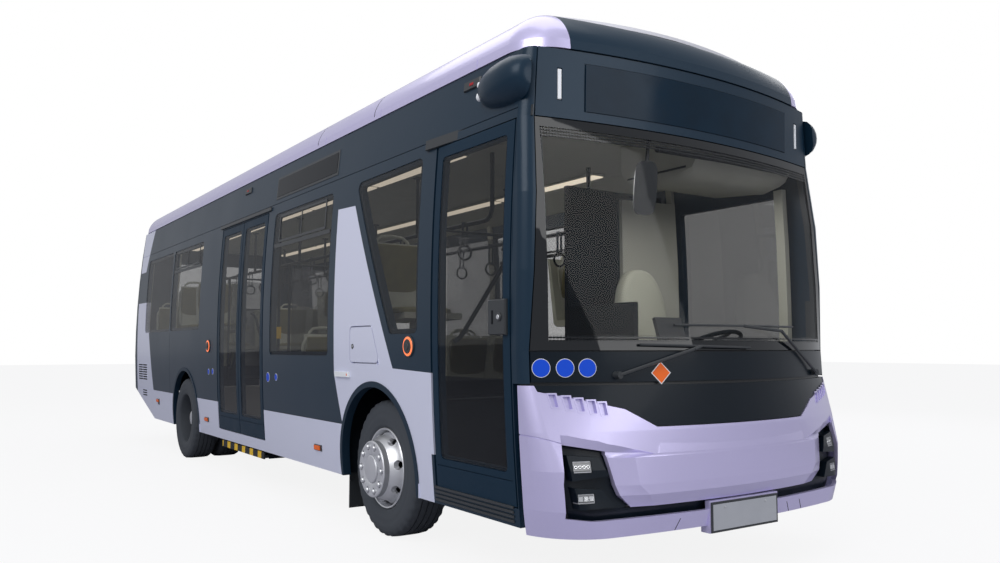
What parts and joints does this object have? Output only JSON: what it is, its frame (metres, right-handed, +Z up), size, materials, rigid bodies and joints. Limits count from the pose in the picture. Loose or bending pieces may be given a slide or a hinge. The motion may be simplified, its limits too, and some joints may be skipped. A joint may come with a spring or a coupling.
{
  "type": "low-floor city bus",
  "caption": "Low-floor electric city bus with two passenger doors, barrel-shaped sides, steered front wheels, twin rear wheels and a furnished cabin.",
  "frame": {"origin": "on the ground, in the middle of the bus's outline", "axes": "+X forward, +Y to the bus's left (driver's side), +Z up"},
  "size_m": [9.3999, 2.5, 3.022],
  "materials": {
    "dark_body": "satin",
    "lilac_body": "gloss metallic",
    "black_trim": "satin",
    "door_paint": "satin",
    "tinted_glass": "clear",
    "lamp_lens": "clear",
    "roof_paint": "satin",
    "frame_steel": "satin",
    "floor_vinyl": "speckled",
    "lining": "matte",
    "seat_plastic": "matte",
    "rail_metal": "satin",
    "flap_rubber": "matte",
    "block_metal": "matte",
    "tyre_rubber": "matte",
    "rim_metal": "satin"
  },
  "bodies": {
    "body": {"battery_packs": "block_metal", "belt_panel": "dark_body", "bumper": "lilac_body", "bumper_inlays": "black_trim", "ceiling_lining": "lining", "chassis_frame": "frame_steel", "dashboard": "black_trim", "drive_motor": "block_metal", "driver_partition": "lining", "driver_seat": "seat_plastic", "floor_deck": "floor_vinyl", "front_axle": "frame_steel", "front_crown": "dark_body", "front_frame": "black_trim", "front_header": "dark_body", "grab_rails": "rail_metal", "lamps": "lamp_lens", "mirror_pods": "dark_body", "mud_flaps": "flap_rubber", "passenger_seats": "seat_plastic", "rear_axle": "frame_steel", "rear_wall": "dark_body", "roof_coves": "lilac_body", "roof_panel": "roof_paint", "side_wall_left": "dark_body", "side_wall_right": "dark_body", "wheel_boxes": "floor_vinyl", "window_glass": "tinted_glass", "windscreen": "tinted_glass", "wipers": "black_trim"},
    "knuckle_left": {"knuckle_left": "frame_steel"},
    "knuckle_right": {"knuckle_right": "frame_steel"},
    "wheel_front_left": {"tyre_front_left": "tyre_rubber", "rim_front_left": "rim_metal"},
    "wheel_front_right": {"tyre_front_right": "tyre_rubber", "rim_front_right": "rim_metal"},
    "wheels_rear_left": {"tyres_rear_left": "tyre_rubber", "rims_rear_left": "rim_metal"},
    "wheels_rear_right": {"tyres_rear_right": "tyre_rubber", "rims_rear_right": "rim_metal"},
    "steering_wheel": {"steering_wheel": "seat_plastic"},
    "door_front": {"door_front_leaf": "door_paint", "door_front_glass": "tinted_glass"},
    "door_rear_front": {"door_rear_leaf_front": "door_paint", "door_rear_glass_front": "tinted_glass"},
    "door_rear_back": {"door_rear_leaf_back": "door_paint", "door_rear_glass_back": "tinted_glass"},
    "charge_flap": {"charge_flap": "lilac_body"},
    "rear_hatch": {"rear_hatch": "dark_body"},
    "ramp": {"ramp": "frame_steel"}
  },
  "joints": [
    {"name": "steer_left", "type": "hinge", "parent": "body", "child": "knuckle_left", "pos_m": [2.705, 0.905, 0.4335], "axis": [0, 0, 1], "range_deg": [-40, 40]},
    {"name": "steer_right", "type": "hinge", "parent": "body", "child": "knuckle_right", "pos_m": [2.705, -0.905, 0.4335], "axis": [0, 0, 1], "range_deg": [-40, 40]},
    {"name": "steering_wheel_turn", "type": "hinge", "parent": "body", "child": "steering_wheel", "pos_m": [3.96, 0.56, 1.215], "axis": [-0.4226, 0, 0.9063], "range_deg": [-720, 720]},
    {"name": "spin_front_left", "type": "hinge", "parent": "knuckle_left", "child": "wheel_front_left", "pos_m": [2.705, 0.9795, 0.4335], "axis": [0, 1, 0], "continuous": true},
    {"name": "spin_front_right", "type": "hinge", "parent": "knuckle_right", "child": "wheel_front_right", "pos_m": [2.705, -0.9795, 0.4335], "axis": [0, 1, 0], "continuous": true},
    {"name": "spin_rear_left", "type": "hinge", "parent": "body", "child": "wheels_rear_left", "pos_m": [-2.02, 1.0395, 0.4335], "axis": [0, 1, 0], "continuous": true},
    {"name": "spin_rear_right", "type": "hinge", "parent": "body", "child": "wheels_rear_right", "pos_m": [-2.02, -1.0395, 0.4335], "axis": [0, 1, 0], "continuous": true},
    {"name": "front_door_swing", "type": "hinge", "parent": "body", "child": "door_front", "pos_m": [3.63, -1.137, 1.3], "axis": [0, 0, -1], "range_deg": [0, 90]},
    {"name": "rear_door_front_leaf_swing", "type": "hinge", "parent": "body", "child": "door_rear_front", "pos_m": [0.41, -1.137, 1.3], "axis": [0, 0, 1], "range_deg": [0, 90]},
    {"name": "rear_door_back_leaf_swing", "type": "hinge", "parent": "body", "child": "door_rear_back", "pos_m": [-0.6, -1.137, 1.3], "axis": [0, 0, -1], "range_deg": [0, 90]},
    {"name": "charge_flap_swing", "type": "hinge", "parent": "body", "child": "charge_flap", "pos_m": [2.73565, -1.19059, 1.22356], "axis": [-0.4205, -0.0161, 0.9072], "range_deg": [0, 100]},
    {"name": "rear_hatch_lift", "type": "hinge", "parent": "body", "child": "rear_hatch", "pos_m": [-4.66, 0, 1.6], "axis": [0, 1, 0], "range_deg": [0, 80]},
    {"name": "ramp_slide", "type": "slide", "parent": "body", "child": "ramp", "axis": [0, -1, 0], "range_m": [0, 0.7]}
  ],
  "couplings": [
    {"joint": "steer_right", "follows": "steer_left", "ratio": 1},
    {"joint": "steering_wheel_turn", "follows": "steer_left", "ratio": 18}
  ]
}
